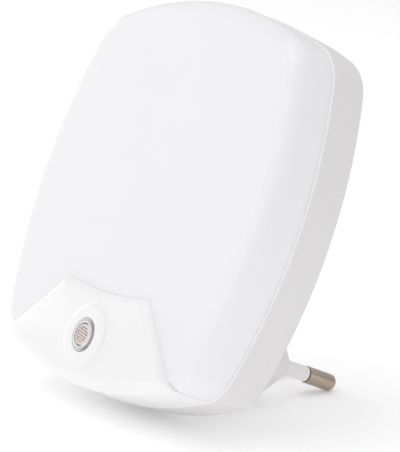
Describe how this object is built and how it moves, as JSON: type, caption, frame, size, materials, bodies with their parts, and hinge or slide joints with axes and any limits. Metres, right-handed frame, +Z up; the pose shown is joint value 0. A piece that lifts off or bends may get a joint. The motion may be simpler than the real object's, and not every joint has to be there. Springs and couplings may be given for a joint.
{
  "type": "plug-in night light",
  "caption": "Plug-in night light: bow-sided opal front on a shallow rear housing, raised light-sensor bezel at the bottom, and a hexagonal plug boss with round sleeved pins behind.",
  "frame": {"origin": "midway between the two pins, on the end face of the plug boss", "axes": "+Y along the pins into the socket, +Z up as it hangs in use, +X to the right seen from the lit front"},
  "size_m": [0.0846, 0.0658, 0.0902],
  "materials": {
    "white_housing_plastic": "fine moulded satin",
    "opal_diffuser_plastic": "smooth opal, translucent",
    "white_bezel_plastic": "smooth semi-gloss",
    "clear_window_plastic": "clear, polished",
    "sensor_ceramic": "matt fired ceramic",
    "sensor_track_film": "matt deposited film",
    "tinned_wire": "tinned",
    "nickel_plated_brass": "drawn and nickel plated",
    "grey_sleeve_plastic": "smooth moulded",
    "zinc_plated_screw_steel": "zinc plated",
    "blue_wire_insulation": "extruded",
    "brown_wire_insulation": "extruded",
    "white_masked_board": "white solder mask over glass laminate",
    "lamp_chip_plastic": "moulded white body with a phosphor well",
    "capacitor_box_plastic": "moulded box",
    "capacitor_sleeve": "shrunk sleeve",
    "black_epoxy": "moulded epoxy",
    "resistor_lacquer": "dipped lacquer",
    "resistor_cement": "matt cement",
    "diode_glass": "clear glass"
  },
  "bodies": {
    "root": {"rear_housing": "white_housing_plastic", "front_diffuser": "opal_diffuser_plastic", "sensor_bezel": "white_bezel_plastic", "sensor_window": "clear_window_plastic", "light_sensor": "sensor_ceramic", "sensor_track": "sensor_track_film", "sensor_leads": "tinned_wire", "contact_pin_left": "nickel_plated_brass", "contact_pin_right": "nickel_plated_brass", "pin_sleeve_left": "grey_sleeve_plastic", "pin_sleeve_right": "grey_sleeve_plastic", "pin_retainer": "white_housing_plastic", "retainer_screws": "zinc_plated_screw_steel", "pin_lead_left": "blue_wire_insulation", "pin_lead_right": "brown_wire_insulation", "main_board": "white_masked_board", "board_screws": "zinc_plated_screw_steel", "leds": "lamp_chip_plastic", "dropper_capacitor": "capacitor_box_plastic", "smoothing_capacitor": "capacitor_sleeve", "rectifier_diodes": "black_epoxy", "resistors": "resistor_lacquer", "fusible_resistor": "resistor_cement", "zener_diode": "diode_glass", "switching_transistor": "black_epoxy"}
  },
  "joints": []
}
